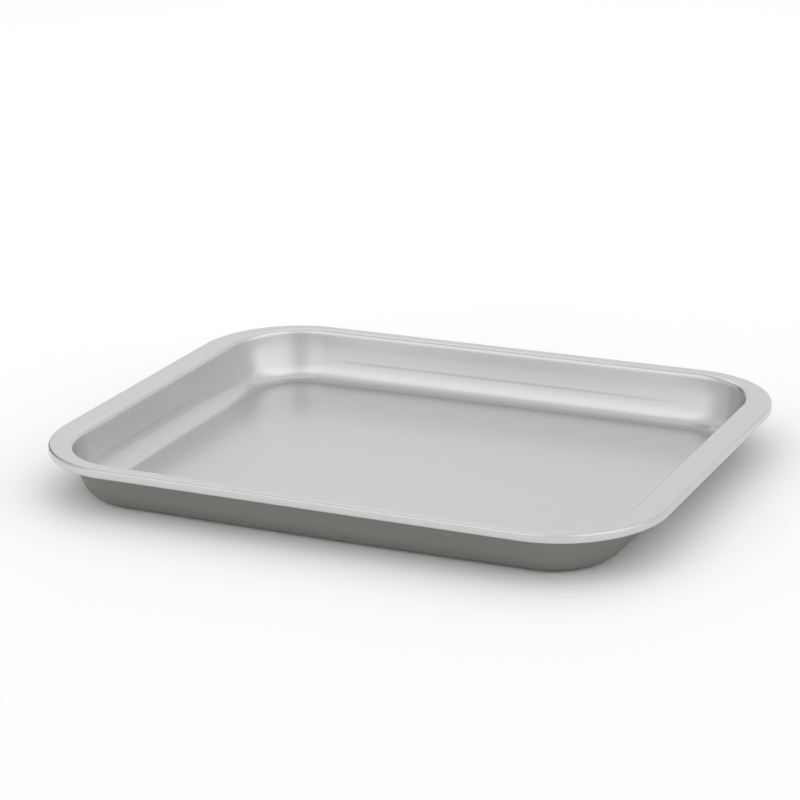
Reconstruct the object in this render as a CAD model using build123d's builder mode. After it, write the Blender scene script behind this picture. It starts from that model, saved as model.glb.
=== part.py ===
"""Shallow baking tray pressed from one steel sheet, its edge curled round a stiffening wire.

Origin: middle of the underside of the base, +X along the long side, +Z up. Millimetres.
"""
import os
from math import cos, radians, tan

from build123d import *

# Overall size of the tray, and the sheet it is pressed from
tray_length = 350.0
tray_width = 270.0
tray_height = 28.6
sheet_thickness = 0.6

# Wire that stiffens the edge, and the curl of sheet round it
wire_diameter = 3.4
wire_clearance = 0.15
wire_end_gap = 1.0
curl_corner_radius = 1.5
curl_seam_gap = 0.2

# Flat rim: its corner, and its width from the curl to where it bends down into the well
rim_corner_radius = 57.0
end_shelf_width = 9.1
side_shelf_width = 2.1

# Well, on the surface that the food touches; its corners are tighter than the rim's by the step
well_corner_step = 13.0
rim_bend_radius = 3.0
base_bend_radius = 10.0

# Lean of the wall, in degrees from upright
wall_draft = 15.7

# Sizes that follow
curl_size = wire_diameter + 2 * (wire_clearance + sheet_thickness)
curl_level = tray_height - curl_size
wire_inset = sheet_thickness + wire_clearance + wire_diameter / 2
bend_tangent = rim_bend_radius / tan(radians(90 + wall_draft) / 2)
wall_growth = sheet_thickness / cos(radians(wall_draft))


def rim_outline(inset):
    """Length, width and corner radius of the outer edge, moved inward."""
    return tray_length - 2 * inset, tray_width - 2 * inset, rim_corner_radius - inset


def well_outline(inset):
    """Length, width and corner radius of the edge of the well, moved inward."""
    length = tray_length - 2 * (curl_size + end_shelf_width + inset)
    width = tray_width - 2 * (curl_size + side_shelf_width + inset)
    return length, width, rim_corner_radius - well_corner_step - inset


def rim_ring(level, outer_inset, inner_inset):
    """Flat ring that follows the outer edge, between two insets from it."""
    with BuildSketch(Plane.XY.offset(level)) as ring:
        RectangleRounded(*rim_outline(outer_inset))
        RectangleRounded(*rim_outline(inner_inset), mode=Mode.SUBTRACT)
    return ring.sketch


def draw_well(growth, floor_level):
    """Fill the well to its floor, grown outward, with drafted walls."""
    with BuildSketch(Plane.XY.offset(tray_height)) as mouth:
        RectangleRounded(*well_outline(bend_tangent - growth))
    extrude(mouth.sketch, amount=floor_level - tray_height, taper=wall_draft)


# Space inside the well, with the bend between its walls and its floor
with BuildPart() as well_space:
    draw_well(0, sheet_thickness)
    fillet(well_space.edges().group_by(Axis.Z)[0], base_bend_radius)

# Space inside the curl, where the wire lies; its corner at the seam is left square
with BuildPart() as curl_space:
    ring = rim_ring(curl_level + sheet_thickness, sheet_thickness, curl_size - sheet_thickness)
    extrude(ring, amount=curl_size - 2 * sheet_thickness)
    curl_floor = curl_space.faces().sort_by(Axis.Z)[0]
    curl_roof = curl_space.faces().sort_by(Axis.Z)[-1]
    bends = curl_floor.edges() + curl_roof.outer_wire().edges()
    fillet(bends, curl_corner_radius - sheet_thickness)

# Tray body: base, walls, flat rim and curled edge, all one sheet
with BuildPart() as pan_body:
    with BuildSketch(Plane.XY.offset(tray_height)):
        RectangleRounded(*rim_outline(0))
    extrude(amount=-sheet_thickness)

    # Underside of the well, and the bend under the rim
    draw_well(wall_growth, 0)
    fillet(pan_body.edges().group_by(Axis.Z)[0], base_bend_radius + sheet_thickness)
    rim_underside = pan_body.faces().filter_by(Plane.XY).sort_by(Axis.Z)[1]
    fillet(rim_underside.inner_wires()[0].edges(), rim_bend_radius - sheet_thickness)

    # Upper side of the well, and the bend into it
    add(well_space.part, mode=Mode.SUBTRACT)
    rim_face = pan_body.faces().filter_by(Plane.XY).sort_by(Axis.Z)[-1]
    fillet(rim_face.inner_wires()[0].edges(), rim_bend_radius)

    # Edge turned down and under, then up again to a narrow seam below the rim
    extrude(rim_ring(curl_level, 0, curl_corner_radius), amount=curl_size)
    inner_leg_height = curl_size - sheet_thickness - curl_seam_gap
    extrude(rim_ring(curl_level, 0, curl_size), amount=inner_leg_height)
    curl_underside = pan_body.faces().filter_by(Plane.XY).sort_by(Axis.Z)[2]
    rim_face = pan_body.faces().filter_by(Plane.XY).sort_by(Axis.Z)[-1]
    fillet(curl_underside.edges() + rim_face.outer_wire().edges(), curl_corner_radius)
    add(curl_space.part, mode=Mode.SUBTRACT)

# Wire hoop inside the curl; its two ends meet in the middle of one long side
hoop_length, hoop_width, hoop_corner_radius = rim_outline(wire_inset)
with BuildPart() as rim_wire:
    with BuildLine(Plane.XY.offset(tray_height - wire_inset)) as hoop:
        FilletPolyline(
            (-wire_end_gap / 2, hoop_width / 2),
            (-hoop_length / 2, hoop_width / 2),
            (-hoop_length / 2, -hoop_width / 2),
            (hoop_length / 2, -hoop_width / 2),
            (hoop_length / 2, hoop_width / 2),
            (wire_end_gap / 2, hoop_width / 2),
            radius=hoop_corner_radius,
        )
    with BuildSketch(Plane(origin=hoop.wire() @ 0, z_dir=hoop.wire() % 0)):
        Circle(wire_diameter / 2)
    sweep()

pan_body.part.label = "pan_body"
rim_wire.part.label = "rim_wire"
os.makedirs("parts", exist_ok=True)
export_step(pan_body.part, "parts/pan_body.step")
export_step(rim_wire.part, "parts/rim_wire.step")
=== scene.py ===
from math import cos, radians, sin

import bpy
from bpy.props import FloatProperty, FloatVectorProperty, PointerProperty
from mathutils import Matrix, Vector


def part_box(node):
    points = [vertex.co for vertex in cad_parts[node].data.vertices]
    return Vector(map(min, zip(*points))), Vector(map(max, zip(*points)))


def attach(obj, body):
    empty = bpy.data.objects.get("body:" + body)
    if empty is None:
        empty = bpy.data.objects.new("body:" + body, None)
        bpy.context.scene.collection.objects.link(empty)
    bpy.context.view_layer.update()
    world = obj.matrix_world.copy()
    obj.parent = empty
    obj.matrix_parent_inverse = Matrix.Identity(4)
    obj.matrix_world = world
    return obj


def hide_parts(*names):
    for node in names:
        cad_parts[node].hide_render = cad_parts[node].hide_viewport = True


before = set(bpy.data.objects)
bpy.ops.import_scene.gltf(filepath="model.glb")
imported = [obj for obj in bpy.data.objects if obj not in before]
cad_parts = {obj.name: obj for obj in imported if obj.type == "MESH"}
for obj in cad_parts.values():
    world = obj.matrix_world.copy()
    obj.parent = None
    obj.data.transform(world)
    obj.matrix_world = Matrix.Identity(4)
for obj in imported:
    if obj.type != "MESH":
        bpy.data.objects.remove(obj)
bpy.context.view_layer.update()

bl_info = {
    "name": "Baking tray",
    "version": (1, 0, 0),
    "blender": (4, 5, 0),
    "location": "3D View > Sidebar > Baking Tray",
    "description": "Dresses a pressed steel baking tray and sets a studio round it",
    "category": "Object",
}

# Boxes of the packed model, in metres
tray_low, tray_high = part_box("pan_body")
wire_low, wire_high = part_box("rim_wire")
wire_cover = tray_high.z - wire_high.z

# Longest steps of the mesh along the outline, across the flat base and up the wall
guide_step = 0.012
base_step = 0.014
wall_step = 0.0008

# How many steps the mesh has round each corner of the outline and round each bend of the section
corner_steps = 30
base_bend_steps = 20
wall_hollow_steps = 18
rim_bend_steps = 12
curl_top_steps = 7
curl_foot_steps = 6

# Radius and steps of a point of the section that is left square
square_end = (0.0, 1)

# How near two points lie to be one, and the least turn of a crisp edge
weld_distance = 0.00001
crisp_edge = radians(50)

# The crease dies away towards the corners, where the bow of the side is less than this share
crease_fade = 0.35

# Noise seldom reaches its ends, so these middle values of it are spread over a whole range
noise_range = (0.3, 0.7)
flake_range = (0.25, 0.75)

# Shades of the soft patches in the coats, and the strength and height of their faint orange peel
patch_shades = (0.992, 1.008)
peel_strength = 0.12
peel_height = 0.00002

# Fine scratches of the bare steel: their width, shades and roughness
scratch_width = 0.0004
scratch_shades = (0.9, 1.08)
scratch_roughness = (0.28, 0.42)

# Pale floor: how far it reaches from the tray, and the size, shades and roughness of its patches
floor_reach = 12.0
floor_patch = 0.5
floor_shades = (0.965, 0.98)
floor_roughness = 0.9

# The floor lies this far under the tray, so that the two don't flicker
floor_gap = 0.0001


def length(name, description, default):
    """Property for a length, in metres."""
    return FloatProperty(
        name=name, description=description, default=default, min=0.0, precision=5, unit="LENGTH"
    )


def angle(name, description, default):
    """Property for an angle, given in degrees."""
    return FloatProperty(name=name, description=description, default=radians(default), subtype="ANGLE")


def colour(name, description, default):
    """Property for a colour."""
    return FloatVectorProperty(
        name=name, description=description, default=default, size=3, min=0.0, max=1.0, subtype="COLOR"
    )


def glow(name, description, default):
    """Property for light added to the room, or taken from it where it is below nothing."""
    return FloatProperty(name=name, description=description, default=default)


def strength(name, description, default):
    """Property for a plain number, such as the strength of a light."""
    return FloatProperty(name=name, description=description, default=default, min=0.0)


class TrayShape(bpy.types.PropertyGroup):
    """Sizes of the pressed sheet. Insets are measured inward from the outer edge of a long side."""

    outer_length: length("Length", "Outer length, across both curls", tray_high.x - tray_low.x)
    outer_width: length("Width", "Outer width, across both curls", tray_high.y - tray_low.y)
    height: length("Height", "From the underside of the base to the rim", tray_high.z - tray_low.z)
    sheet: length("Sheet thickness", "Thickness of the steel sheet", 0.0006)
    curl: length("Curl size", "Side of the square curl", wire_high.z - wire_low.z + 2 * wire_cover)
    curl_bend: length("Curl bend radius", "Bend at the top and the inner foot of the curl", 0.0015)
    lip_bend: length("Lip bend radius", "Bend at the outer foot of the curl", 0.001)
    seam_gap: length("Seam gap", "Between the end of the curl and the rim above it", 0.0002)
    rim_corner: length("Rim corner radius", "Corner of the outer edge, from above", 0.057)
    corner_step: length("Corner step", "How much tighter the corner of the well is", 0.013)
    end_shelf: length("End shelf", "Flat rim between curl and well at the short ends", 0.0091)
    side_shelf: length("Side shelf", "Flat rim between curl and well at the long sides", 0.0021)
    rim_bend: length("Rim bend radius", "Bend from the rim into the well", 0.0030)
    base_bend: length("Base bend radius", "Bend from the wall into the base", 0.012)
    wall_draft: angle("Wall draft", "Lean of the wall from upright, halfway down", 15.7)
    wall_turn: angle("Wall turn", "How much more the foot of the wall leans than its top", 4.5)
    wall_radius: length("Wall radius", "Radius of the shallow hollow of the wall", 0.150)
    wall_middle: length("Wall middle", "From the rim down to the middle of the hollow", 0.012)
    corner_hollow: length("Corner hollow", "How much deeper the wall is hollowed at the corners", 0.00045)
    side_crown: length("Side crown", "How far the foot of each side bows out in its middle", 0.0013)
    crease_drop: length("Crease drop", "From the rim down to the crease along each side", 0.017)
    crease_width: length("Crease width", "Width of the fine step at the crease", 0.0015)
    crease_step: length("Crease step", "How far the wall steps out at the crease", 0.00009)
    crease_band: length("Crease band", "Height of the band under the crease that leans in more", 0.005)
    crease_lean: length("Crease lean", "How far that band leans in", 0.00012)


class CoatFinish(bpy.types.PropertyGroup):
    """Colours and grain of the two coats and of the bare steel."""

    silver: colour("Silver coat", "Upper side of the sheet", (0.60, 0.605, 0.60))
    graphite: colour("Graphite coat", "Underside of the sheet", (0.22, 0.21, 0.195))
    steel: colour("Bare steel", "Wire and cut edge", (0.52, 0.51, 0.49))
    flake: length("Flake size", "Size of the metal flakes in the coats", 0.00045)
    mottle: length("Mottle size", "Size of the soft patches in the coats", 0.006)


class StudioSetup(bpy.types.PropertyGroup):
    """Place of the camera, and the places and strengths of the lights."""

    camera_azimuth: angle("Azimuth", "Turn of the camera from the front towards the right", 25.942)
    camera_elevation: angle("Elevation", "Height of the camera above the horizon", 18.737)
    camera_roll: angle("Roll", "Tilt of the camera about its own axis", -1.661)
    camera_distance: length("Distance", "From the camera to the point it looks at", 1.46213)
    camera_lens: strength("Lens", "Focal length in millimetres, on a 36 mm sensor", 118.304)
    target_x: FloatProperty(name="Target X", description="Point looked at", default=-0.02003, unit="LENGTH")
    target_y: FloatProperty(name="Target Y", description="Point looked at", default=0.0242, unit="LENGTH")
    room_light: strength("Room light", "Strength of the pale room at the height of the tray", 0.69)
    room_tone: colour("Room tone", "Colour of the pale room", (0.985, 1.0, 0.985))
    back_glow: glow("Back glow", "How much brighter the room is behind the tray than beside it", 0.2)
    right_glow: glow("Right glow", "How much brighter the room is on the right than in front", -0.04)
    top_glow: glow("Top glow", "How much brighter the room is overhead", 0.18)
    softbox_distance: length("Softbox distance", "From the tray to the softbox behind it", 1.6)
    softbox_azimuth: angle("Softbox azimuth", "Turn from the front towards the right", 221.5)
    softbox_elevation: angle("Softbox elevation", "Height above the horizon", 43.0)
    softbox_width: length("Softbox width", "Width of the softbox", 0.86)
    softbox_height: length("Softbox height", "Height of the softbox", 0.39)
    softbox_power: strength("Softbox power", "Power in watts", 0.89)


def light_panel(name, note, light, tone, azimuth, width, side_blur, foot, foot_blur, top, top_blur):
    """Group for one soft-edged panel of the room, with its places as angles seen from the tray."""
    entries = {
        "light": glow("Glow", "How much it adds to the room's light", light),
        "tone": colour("Tone", "Colour of its light", tone),
        "azimuth": angle("Azimuth", "Turn of its middle from the front towards the right", azimuth),
        "width": angle("Width", "How wide it is", width),
        "side_blur": angle("Side blur", "How softly its sides end", side_blur),
        "foot": angle("Foot", "Height of its lower edge above the horizon", foot),
        "foot_blur": angle("Foot blur", "How softly its lower edge ends", foot_blur),
        "top": angle("Top", "Height of its upper edge above the horizon", top),
        "top_blur": angle("Top blur", "How softly its upper edge ends", top_blur),
    }
    return type(name, (bpy.types.PropertyGroup,), {"__doc__": note, "__annotations__": entries})


LeftPanel = light_panel(
    "LeftPanel", "Bright panel in front of the tray", light=0.59, tone=(0.965, 0.955, 1.0),
    azimuth=-21.5, width=70.4, side_blur=20.0, foot=-4.8, foot_blur=25.0, top=71.4, top_blur=3.7,
)
RightPanel = light_panel(
    "RightPanel", "Bright panel to the right of the camera", light=0.62, tone=(0.965, 0.955, 1.0),
    azimuth=69.9, width=83.3, side_blur=20.0, foot=1.1, foot_blur=5.7, top=76.2, top_blur=2.7,
)
DarkPanel = light_panel(
    "DarkPanel", "Dark panel behind the tray on the left", light=-0.8, tone=(1.0, 1.0, 1.0),
    azimuth=-118.7, width=20.0, side_blur=15.0, foot=-12.3, foot_blur=12.0, top=60.0, top_blur=12.0,
)


def feed(tree, socket, value):
    """Link an output to a socket, or set the socket to a plain value."""
    if isinstance(value, Field):
        tree.links.new(value.socket, socket)
    elif isinstance(value, bpy.types.NodeSocket):
        tree.links.new(value, socket)
    elif value is not None:
        socket.default_value = value


def add_node(tree, kind, *values, **settings):
    """Add a node with its settings, then feed its shown inputs in order."""
    node = tree.nodes.new(kind)
    for name, setting in settings.items():
        setattr(node, name, setting)
    for socket, value in zip([s for s in node.inputs if s.enabled], values):
        feed(tree, socket, value)
    return node


class Field:
    """Output in a node tree. Each sum on it adds the node that works it out."""

    node_kind = None

    def __init__(self, tree, socket):
        self.tree = tree
        self.socket = socket

    def work(self, operation, *values):
        node = add_node(self.tree, self.node_kind, *values, operation=operation)
        return type(self)(self.tree, node.outputs[0])

    def __add__(self, other):
        return self.work("ADD", self, other)

    def __sub__(self, other):
        return self.work("SUBTRACT", self, other)

    def __mul__(self, other):
        return self.work("MULTIPLY", self, other)

    def __truediv__(self, other):
        return self.work("DIVIDE", self, other)

    def least(self, other):
        return self.work("MINIMUM", self, other)

    def most(self, other):
        return self.work("MAXIMUM", self, other)


class Number(Field):
    """Number in a node tree."""

    node_kind = "ShaderNodeMath"

    def __rsub__(self, other):
        return self.work("SUBTRACT", other, self)

    def __radd__(self, other):
        return self.work("ADD", other, self)

    def __rmul__(self, other):
        return self.work("MULTIPLY", other, self)

    def sine(self):
        return self.work("SINE", self)

    def cosine(self):
        return self.work("COSINE", self)

    def tangent(self):
        return self.work("TANGENT", self)

    def eased(self, low, high):
        """Nothing at the low value, one at the high value, and a smooth step between them."""
        node = add_node(
            self.tree, "ShaderNodeMapRange", self, low, high, 0.0, 1.0, interpolation_type="SMOOTHSTEP"
        )
        return Number(self.tree, node.outputs["Result"])

    def clamped(self):
        """Kept between nothing and one."""
        return Number(self.tree, add_node(self.tree, "ShaderNodeClamp", self).outputs["Result"])

    def spread(self, low, high, out_low, out_high):
        """One range of values stretched over another."""
        node = add_node(self.tree, "ShaderNodeMapRange", self, low, high, out_low, out_high)
        return Number(self.tree, node.outputs["Result"])


class Arrow(Field):
    """Vector in a node tree."""

    node_kind = "ShaderNodeVectorMath"

    def scaled(self, factor):
        node = self.tree.nodes.new("ShaderNodeVectorMath")
        node.operation = "SCALE"
        feed(self.tree, node.inputs["Vector"], self)
        feed(self.tree, node.inputs["Scale"], factor)
        return Arrow(self.tree, node.outputs["Vector"])

    def unit(self):
        return self.work("NORMALIZE", self)

    def cross(self, other):
        return self.work("CROSS_PRODUCT", self, other)

    def dot(self, other):
        node = add_node(self.tree, "ShaderNodeVectorMath", self, other, operation="DOT_PRODUCT")
        return Number(self.tree, node.outputs["Value"])

    def distance(self, other):
        node = add_node(self.tree, "ShaderNodeVectorMath", self, other, operation="DISTANCE")
        return Number(self.tree, node.outputs["Value"])

    def parts(self):
        node = add_node(self.tree, "ShaderNodeSeparateXYZ", self)
        return [Number(self.tree, socket) for socket in node.outputs]


def arrow(tree, x, y, z=0.0):
    """Vector from three numbers."""
    return Arrow(tree, add_node(tree, "ShaderNodeCombineXYZ", x, y, z).outputs["Vector"])


def choose(tree, data_type, values):
    """Value for each point of a curve, by the point's index."""
    node = add_node(tree, "GeometryNodeIndexSwitch", data_type=data_type)
    while len(node.index_switch_items) < len(values):
        node.index_switch_items.new()
    feed(tree, node.inputs["Index"], add_node(tree, "GeometryNodeInputIndex").outputs["Index"])
    for number, value in enumerate(values):
        feed(tree, node.inputs[number + 1], value)
    return node.outputs["Output"]


def divide_straights(tree, curve, step):
    """Cut the straight runs of a curve into pieces no longer than about one step."""
    index = add_node(tree, "GeometryNodeInputIndex").outputs["Index"]
    position = Arrow(tree, add_node(tree, "GeometryNodeInputPosition").outputs["Position"])
    following = add_node(tree, "GeometryNodeOffsetPointInCurve", index, 1).outputs["Point Index"]
    at_next = add_node(
        tree, "GeometryNodeFieldAtIndex", position, following, data_type="FLOAT_VECTOR", domain="POINT"
    )
    cuts = position.distance(at_next.outputs["Value"]) / step
    return add_node(tree, "GeometryNodeSubdivideCurve", curve, cuts).outputs["Curve"]


def capture_places(tree, geometry):
    """Geometry, and the places that its points have now, kept as a field."""
    node = add_node(tree, "GeometryNodeCaptureAttribute")
    node.capture_items.new("VECTOR", "Place")
    feed(tree, node.inputs[0], geometry)
    feed(tree, node.inputs[1], add_node(tree, "GeometryNodeInputPosition").outputs["Position"])
    return node.outputs[0], Arrow(tree, node.outputs[1])


def face_profile(tree, size):
    """Section through the coated face of the sheet, from the middle of the base to the end of the curl.

    X is the inset from the outer edge and Y the height. Also gives the inset where the flat base begins.
    """
    upper_lean = size["wall_draft"] - size["wall_turn"] / 2.0
    lower_lean = size["wall_draft"] + size["wall_turn"] / 2.0
    rim_tangent = size["rim_bend"] / ((upper_lean + radians(90)) / 2.0).tangent()
    foot_tangent = size["base_bend"] / ((lower_lean + radians(90)) / 2.0).tangent()

    # The wall is two straight lines that meet in its middle, rounded there almost to both ends
    rim_inset = size["curl"] + size["side_shelf"] + rim_tangent
    middle_inset = rim_inset + size["wall_middle"] * upper_lean.tangent()
    middle_level = size["height"] - size["wall_middle"]
    foot_inset = middle_inset + (middle_level - size["sheet"]) * lower_lean.tangent()
    flat_inset = foot_inset + foot_tangent

    lip_level = size["height"] - size["curl"]
    seam_level = size["height"] - size["sheet"] - size["seam_gap"]
    corners = [
        (flat_inset + size["outer_width"], size["sheet"], *square_end),
        (flat_inset, size["sheet"], *square_end),
        (foot_inset, size["sheet"], size["base_bend"], base_bend_steps),
        (middle_inset, middle_level, size["wall_radius"], wall_hollow_steps),
        (rim_inset, size["height"], size["rim_bend"], rim_bend_steps),
        (0.0, size["height"], size["curl_bend"], curl_top_steps),
        (0.0, lip_level, size["lip_bend"], curl_foot_steps),
        (size["curl"], lip_level, size["curl_bend"], curl_foot_steps),
        (size["curl"], seam_level, *square_end),
    ]
    line = add_node(tree, "GeometryNodeMeshLine", len(corners)).outputs["Mesh"]
    path = add_node(tree, "GeometryNodeMeshToCurve", line).outputs["Curve"]
    places = choose(tree, "VECTOR", [arrow(tree, inset, level) for inset, level, _, _ in corners])
    placed = add_node(tree, "GeometryNodeSetPosition", path, None, places).outputs["Geometry"]
    radii = choose(tree, "FLOAT", [radius for _, _, radius, _ in corners])
    steps = choose(tree, "INT", [count for _, _, _, count in corners])
    bent = add_node(tree, "GeometryNodeFilletCurve", placed, steps, radii, mode="POLY").outputs["Curve"]
    inset = Arrow(tree, add_node(tree, "GeometryNodeInputPosition").outputs["Position"]).parts()[0]
    on_base = inset.work("GREATER_THAN", inset, flat_inset + weld_distance)
    return divide_straights(tree, bent, on_base.spread(0.0, 1.0, wall_step, base_step)), flat_inset


def back_profile(tree, size, face):
    """Section through the other side of the sheet, one thickness behind the face, run the other way."""
    tangent = Arrow(tree, add_node(tree, "GeometryNodeInputTangent").outputs["Tangent"])
    inward = tangent.cross((0.0, 0.0, -1.0)).scaled(size["sheet"])
    moved = add_node(tree, "GeometryNodeSetPosition", face, None, None, inward)
    return add_node(tree, "GeometryNodeReverseCurve", moved.outputs["Geometry"]).outputs["Curve"]


def end_of(tree, curve, factor):
    """Place of one end of a curve."""
    node = add_node(tree, "GeometryNodeSampleCurve", curve, mode="FACTOR")
    feed(tree, node.inputs["Factor"], factor)
    return node.outputs["Position"]


def sweep(tree, size, guide, profile, flat_inset, side):
    """Sweep a section round the outline, whose corners are wide at the rim and tighter at the well."""
    guide, outline = capture_places(tree, guide)
    profile, section = capture_places(tree, profile)
    mesh = add_node(tree, "GeometryNodeCurveToMesh", guide, profile).outputs["Mesh"]
    inset, level, _ = section.parts()

    # Each point of the outline lies straight out from the centre of its corner, or from a point beside it
    half_size = arrow(tree, size["outer_length"], size["outer_width"]) / (2.0, 2.0, 1.0)
    corner_centre = half_size - arrow(tree, size["rim_corner"], size["rim_corner"])
    centre = outline.most(corner_centre * (-1.0, -1.0, 1.0)).least(corner_centre)
    outward = (outline - centre).unit()

    # Across the flat rim the corner tightens, and its centre moves to keep the width of each shelf
    end_width = size["curl"] + size["end_shelf"]
    side_width = size["curl"] + size["side_shelf"]
    past_curl = ((inset - size["curl"]) / size["side_shelf"]).clamped()
    shift = arrow(tree, size["corner_step"] - end_width, size["corner_step"] - side_width)
    along = centre / (corner_centre + arrow(tree, 0.0, 0.0, 1.0))
    ring_centre = centre + (along * shift).scaled(past_curl)
    tightening = past_curl * (size["corner_step"] - side_width)

    # The foot of each side bows out in its middle, where this is one; it is nothing at the corners
    side_middle = 2.0 - along.dot(along)
    drop = size["height"] - level
    drop_share = (drop / (size["height"] - size["sheet"])).clamped()
    bow = size["side_crown"] * side_middle * drop_share

    # The walls of the corners are hollowed more, most of all halfway down, where the last share is one
    straight = side_middle.eased(0.0, crease_fade)
    halfway_share = drop_share * (1.0 - drop_share) * 4.0
    hollow = size["corner_hollow"] * (1.0 - straight) * halfway_share

    # Along the straight walls runs a crease: a fine step out, and under it a band that leans in more
    crease_top = size["crease_drop"] - size["crease_width"] / 2.0
    band_top = crease_top + size["crease_width"]
    band_foot = band_top + size["crease_band"]
    step_out = drop.eased(crease_top, band_top) * size["crease_step"]
    lean_in = drop.eased(band_top, band_foot) * size["crease_lean"]
    relief = (step_out - lean_in) * straight + hollow

    # Inside the edge of the flat base the rings shrink towards the middle
    held_inset = inset.least(flat_inset)
    radius = size["rim_corner"] - held_inset - tightening + (bow + relief) * past_curl
    ring = ring_centre + outward.scaled(radius)
    ring_share = 1.0 - (inset - held_inset) / size["outer_width"]
    place = ring.scaled(ring_share) + arrow(tree, 0.0, 0.0, level)

    placed = add_node(tree, "GeometryNodeSetPosition", mesh, None, place).outputs["Geometry"]
    stored = add_node(tree, "GeometryNodeStoreNamedAttribute", placed, data_type="INT", domain="FACE")
    feed(tree, stored.inputs["Name"], "side")
    feed(tree, stored.inputs["Value"], side)
    return stored.outputs["Geometry"]


def tray_tree(shape, materials):
    """Node tree that presses the tray from its sizes. Also gives the identifier of each size's input."""
    tree = bpy.data.node_groups.new("Pressed tray", "GeometryNodeTree")
    tree.interface.new_socket("Geometry", in_out="INPUT", socket_type="NodeSocketGeometry")
    tree.interface.new_socket("Geometry", in_out="OUTPUT", socket_type="NodeSocketGeometry")
    labels = {key: shape.bl_rna.properties[key].name for key in TrayShape.__annotations__}
    identifiers = {}
    for key, label in labels.items():
        socket = tree.interface.new_socket(label, in_out="INPUT", socket_type="NodeSocketFloat")
        socket.default_value = getattr(shape, key)
        identifiers[key] = socket.identifier
    inputs = tree.nodes.new("NodeGroupInput").outputs
    size = {key: Number(tree, inputs[label]) for key, label in labels.items()}

    sides = (size["outer_length"], size["outer_width"])
    outline = add_node(tree, "GeometryNodeCurvePrimitiveQuadrilateral", *sides).outputs["Curve"]
    corner = (corner_steps, size["rim_corner"])
    rounded = add_node(tree, "GeometryNodeFilletCurve", outline, *corner, mode="POLY").outputs["Curve"]
    guide = divide_straights(tree, rounded, guide_step)
    face, flat_inset = face_profile(tree, size)
    back = back_profile(tree, size, face)
    ends = (end_of(tree, face, 1.0), end_of(tree, back, 0.0))
    cut_edge = add_node(tree, "GeometryNodeCurvePrimitiveLine", *ends)
    join = add_node(tree, "GeometryNodeJoinGeometry")
    for side, profile in enumerate((face, back, cut_edge.outputs["Curve"])):
        tree.links.new(sweep(tree, size, guide, profile, flat_inset, side), join.inputs["Geometry"])

    joined = join.outputs["Geometry"]
    welded = add_node(tree, "GeometryNodeMergeByDistance", joined, None, weld_distance).outputs["Geometry"]
    smooth = add_node(tree, "GeometryNodeSetShadeSmooth", welded, None, True, domain="FACE")
    edge_angle = Number(tree, add_node(tree, "GeometryNodeInputMeshEdgeAngle").outputs["Unsigned Angle"])
    is_crisp = edge_angle.work("GREATER_THAN", edge_angle, crisp_edge)
    crisp = add_node(tree, "GeometryNodeSetShadeSmooth", smooth.outputs[0], is_crisp, False, domain="EDGE")

    geometry = add_node(tree, "GeometryNodeRealizeInstances", crisp.outputs[0]).outputs["Geometry"]
    face_material, *other_materials = materials
    geometry = add_node(tree, "GeometryNodeSetMaterial", geometry, None, face_material).outputs["Geometry"]
    stored = add_node(tree, "GeometryNodeInputNamedAttribute", "side", data_type="INT").outputs["Attribute"]
    for side, material in enumerate(other_materials, start=1):
        chosen = add_node(tree, "FunctionNodeCompare", stored, side, data_type="INT", operation="EQUAL")
        coated = add_node(tree, "GeometryNodeSetMaterial", geometry, chosen.outputs["Result"], material)
        geometry = coated.outputs["Geometry"]
    tree.links.new(geometry, tree.nodes.new("NodeGroupOutput").inputs["Geometry"])
    return tree, identifiers


def new_material(name):
    """Node material with a bare shader. Also gives the place coordinates of the piece."""
    material = bpy.data.materials.new(name)
    material.use_nodes = True
    tree = material.node_tree
    tree.nodes.clear()
    shader = tree.nodes.new("ShaderNodeBsdfPrincipled")
    output = tree.nodes.new("ShaderNodeOutputMaterial")
    tree.links.new(shader.outputs["BSDF"], output.inputs["Surface"])
    place = Arrow(tree, tree.nodes.new("ShaderNodeTexCoord").outputs["Object"])
    return material, tree, shader, place


def noise(tree, place, size, detail=2.0, roughness=0.5):
    """Noise whose grain is about one size across."""
    node = tree.nodes.new("ShaderNodeTexNoise")
    feed(tree, node.inputs["Vector"], place)
    node.inputs["Scale"].default_value = 1 / size
    node.inputs["Detail"].default_value = detail
    node.inputs["Roughness"].default_value = roughness
    return Number(tree, node.outputs["Fac"])


def tint(tree, tone, factor):
    """A colour made lighter or darker by a factor."""
    return arrow(tree, *tone).scaled(factor)


def coat_material(name, tone, finish, metallic, roughness, grain):
    """Sprayed coat with metal flakes: fine grain, soft mottling and a faint orange peel."""
    material, tree, shader, place = new_material(name)
    flakes = noise(tree, place, finish.flake, detail=1.0)
    patches = noise(tree, place, finish.mottle, detail=3.0)
    shade = flakes.spread(*flake_range, 1 - grain, 1 + grain) * patches.spread(*noise_range, *patch_shades)
    feed(tree, shader.inputs["Base Color"], tint(tree, tone, shade))
    feed(tree, shader.inputs["Roughness"], flakes.spread(*noise_range, *roughness))
    shader.inputs["Metallic"].default_value = metallic
    bump = tree.nodes.new("ShaderNodeBump")
    bump.inputs["Strength"].default_value = peel_strength
    bump.inputs["Distance"].default_value = peel_height
    feed(tree, bump.inputs["Height"], flakes)
    feed(tree, shader.inputs["Normal"], bump.outputs["Normal"])
    return material


def steel_material(name, tone):
    """Bare drawn steel with fine scratches."""
    material, tree, shader, place = new_material(name)
    scratches = noise(tree, place, scratch_width, detail=3.0)
    shade = scratches.spread(*noise_range, *scratch_shades)
    feed(tree, shader.inputs["Base Color"], tint(tree, tone, shade))
    feed(tree, shader.inputs["Roughness"], scratches.spread(*noise_range, *scratch_roughness))
    shader.inputs["Metallic"].default_value = 1.0
    return material


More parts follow.
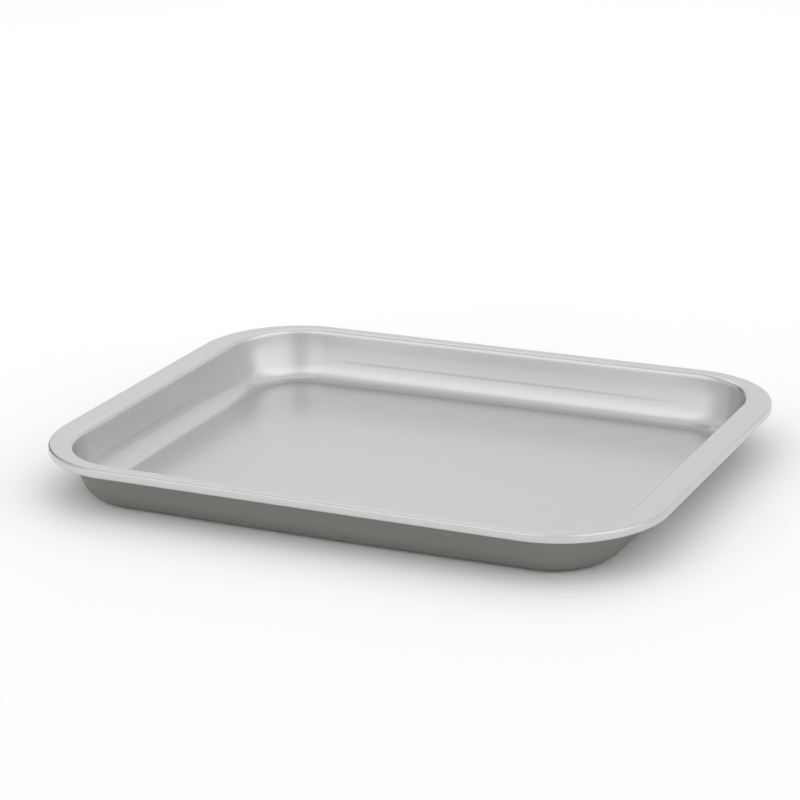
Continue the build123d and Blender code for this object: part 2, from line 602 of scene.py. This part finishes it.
class PressTray(bpy.types.Operator):
    """Press the tray body from its sizes and coat both of its sides"""

    bl_idname = "baking_tray.press_tray"
    bl_label = "Press tray"

    def execute(self, context):
        shape = context.scene.tray_shape
        finish = context.scene.coat_finish
        materials = (
            coat_material(
                "silver_coat", finish.silver, finish, metallic=1.0, roughness=(0.235, 0.265), grain=0.03
            ),
            coat_material(
                "graphite_coat", finish.graphite, finish, metallic=0.3, roughness=(0.42, 0.52), grain=0.08
            ),
            steel_material("cut_edge_steel", finish.steel),
        )
        tree, identifiers = tray_tree(shape, materials)
        draft = bpy.data.objects.new("tray_draft", bpy.data.meshes.new("tray_draft"))
        context.collection.objects.link(draft)
        modifier = draft.modifiers.new("Pressed tray", "NODES")
        modifier.node_group = tree
        for key, identifier in identifiers.items():
            modifier[identifier] = getattr(shape, key)
        evaluated = draft.evaluated_get(context.evaluated_depsgraph_get())
        mesh = bpy.data.meshes.new_from_object(evaluated)
        draft.modifiers.remove(modifier)
        bpy.data.objects.remove(draft)
        if not mesh.polygons:
            raise RuntimeError("the tray's node tree made no faces")

        # The draft's own empty material slot comes first in the result, and no face uses it
        mesh.materials.pop(index=0)
        mesh.name = "tray"
        tray = bpy.data.objects.new("tray", mesh)
        context.collection.objects.link(tray)
        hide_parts("pan_body")
        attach(tray, "root")
        return {"FINISHED"}


class FinishWire(bpy.types.Operator):
    """Give the wire inside the curl its bare steel"""

    bl_idname = "baking_tray.finish_wire"
    bl_label = "Finish wire"

    def execute(self, context):
        finish = context.scene.coat_finish
        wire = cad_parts["rim_wire"]
        wire.data.materials.clear()
        wire.data.materials.append(steel_material("wire_steel", finish.steel))
        return {"FINISHED"}


class SetStudio(bpy.types.Operator):
    """Set a pale floor, a soft light and the camera round the tray"""

    bl_idname = "baking_tray.set_studio"
    bl_label = "Set studio"

    def execute(self, context):
        studio = context.scene.studio_setup
        self.add_floor(context)
        self.light_room(context, studio)
        self.add_softbox(context, studio)
        self.add_camera(context, studio)
        context.scene.view_settings.view_transform = "Standard"
        return {"FINISHED"}

    def add_floor(self, context):
        mesh = bpy.data.meshes.new("floor")
        signs = ((-1, -1), (1, -1), (1, 1), (-1, 1))
        corners = [(x * floor_reach, y * floor_reach, -floor_gap) for x, y in signs]
        mesh.from_pydata(corners, [], [(0, 1, 2, 3)])
        floor = bpy.data.objects.new("floor", mesh)
        context.collection.objects.link(floor)
        material, tree, shader, place = new_material("pale_floor")
        shade = noise(tree, place, floor_patch).spread(*noise_range, *floor_shades)
        feed(tree, shader.inputs["Base Color"], tint(tree, (1.0, 1.0, 1.0), shade))
        shader.inputs["Roughness"].default_value = floor_roughness
        mesh.materials.append(material)

    def light_room(self, context, studio):
        """Pale room whose glow varies softly with the direction seen from the tray."""
        world = bpy.data.worlds.new("pale_room")
        world.use_nodes = True
        context.scene.world = world
        tree = world.node_tree
        direction = Arrow(tree, tree.nodes.new("ShaderNodeTexCoord").outputs["Generated"])
        right, back, up = direction.parts()
        rise = up.work("ARCSINE", up)
        level = (direction * (1.0, 1.0, 0.0)).unit()
        sides = right * studio.right_glow + back * studio.back_glow + up * studio.top_glow
        total = tint(tree, studio.room_tone, sides + studio.room_light)
        for key in LIGHT_PANELS:
            panel = getattr(context.scene, key)
            cosine = level.dot((sin(panel.azimuth), -cos(panel.azimuth), 0.0))
            aside = cosine.work("ARCCOSINE", cosine)
            side = panel.width / 2
            share = 1.0 - aside.eased(side - panel.side_blur, side + panel.side_blur)
            share = share * rise.eased(panel.foot - panel.foot_blur, panel.foot + panel.foot_blur)
            share = share * (1.0 - rise.eased(panel.top - panel.top_blur, panel.top + panel.top_blur))
            total = total + tint(tree, panel.tone, share * panel.light)
        feed(tree, tree.nodes["Background"].inputs["Color"], total)

    def add_softbox(self, context, studio):
        """Small soft light behind the tray, facing it."""
        light = bpy.data.lights.new("back_softbox", "AREA")
        light.shape = "RECTANGLE"
        light.size = studio.softbox_width
        light.size_y = studio.softbox_height
        light.energy = studio.softbox_power
        lamp = bpy.data.objects.new("back_softbox", light)
        lean = Matrix.Rotation(radians(90) - studio.softbox_elevation, 4, "X")
        turn = Matrix.Rotation(studio.softbox_azimuth, 4, "Z") @ lean
        lamp.matrix_world = turn @ Matrix.Translation((0.0, 0.0, studio.softbox_distance))
        lamp.visible_camera = False
        context.collection.objects.link(lamp)

    def add_camera(self, context, studio):
        data = bpy.data.cameras.new("camera")
        data.sensor_fit = "HORIZONTAL"
        data.lens = studio.camera_lens
        camera = bpy.data.objects.new("camera", data)
        context.collection.objects.link(camera)
        turn = (
            Matrix.Rotation(studio.camera_azimuth, 4, "Z")
            @ Matrix.Rotation(radians(90) - studio.camera_elevation, 4, "X")
            @ Matrix.Rotation(studio.camera_roll, 4, "Z")
        )
        target = Vector((studio.target_x, studio.target_y, tray_high.z))
        step_back = Matrix.Translation((0.0, 0.0, studio.camera_distance))
        camera.matrix_world = Matrix.Translation(target) @ turn @ step_back
        context.scene.camera = camera


class TrayPanel(bpy.types.Panel):
    """Sizes, finishes and steps of the baking tray"""

    bl_idname = "VIEW3D_PT_baking_tray"
    bl_label = "Baking Tray"
    bl_space_type = "VIEW_3D"
    bl_region_type = "UI"
    bl_category = "Baking Tray"

    def draw(self, context):
        layout = self.layout
        for group in GROUPS:
            box = layout.box()
            owner = getattr(context.scene, group)
            for key in type(owner).__annotations__:
                box.prop(owner, key)
        for operator in OPERATORS:
            layout.operator(operator.bl_idname)


LIGHT_PANELS = {"left_panel": LeftPanel, "right_panel": RightPanel, "dark_panel": DarkPanel}
GROUPS = {"tray_shape": TrayShape, "coat_finish": CoatFinish, "studio_setup": StudioSetup, **LIGHT_PANELS}
OPERATORS = (PressTray, FinishWire, SetStudio)
CLASSES = (*GROUPS.values(), *OPERATORS, TrayPanel)


def register():
    for cls in CLASSES:
        bpy.utils.register_class(cls)
    for key, group in GROUPS.items():
        setattr(bpy.types.Scene, key, PointerProperty(type=group))


def unregister():
    for key in GROUPS:
        delattr(bpy.types.Scene, key)
    for cls in reversed(CLASSES):
        bpy.utils.unregister_class(cls)


def main():
    """Dress the tray, set the studio and write both boxes."""
    register()
    bpy.ops.baking_tray.press_tray()
    bpy.ops.baking_tray.finish_wire()
    bpy.ops.baking_tray.set_studio()


if __name__ == "__main__":
    main()
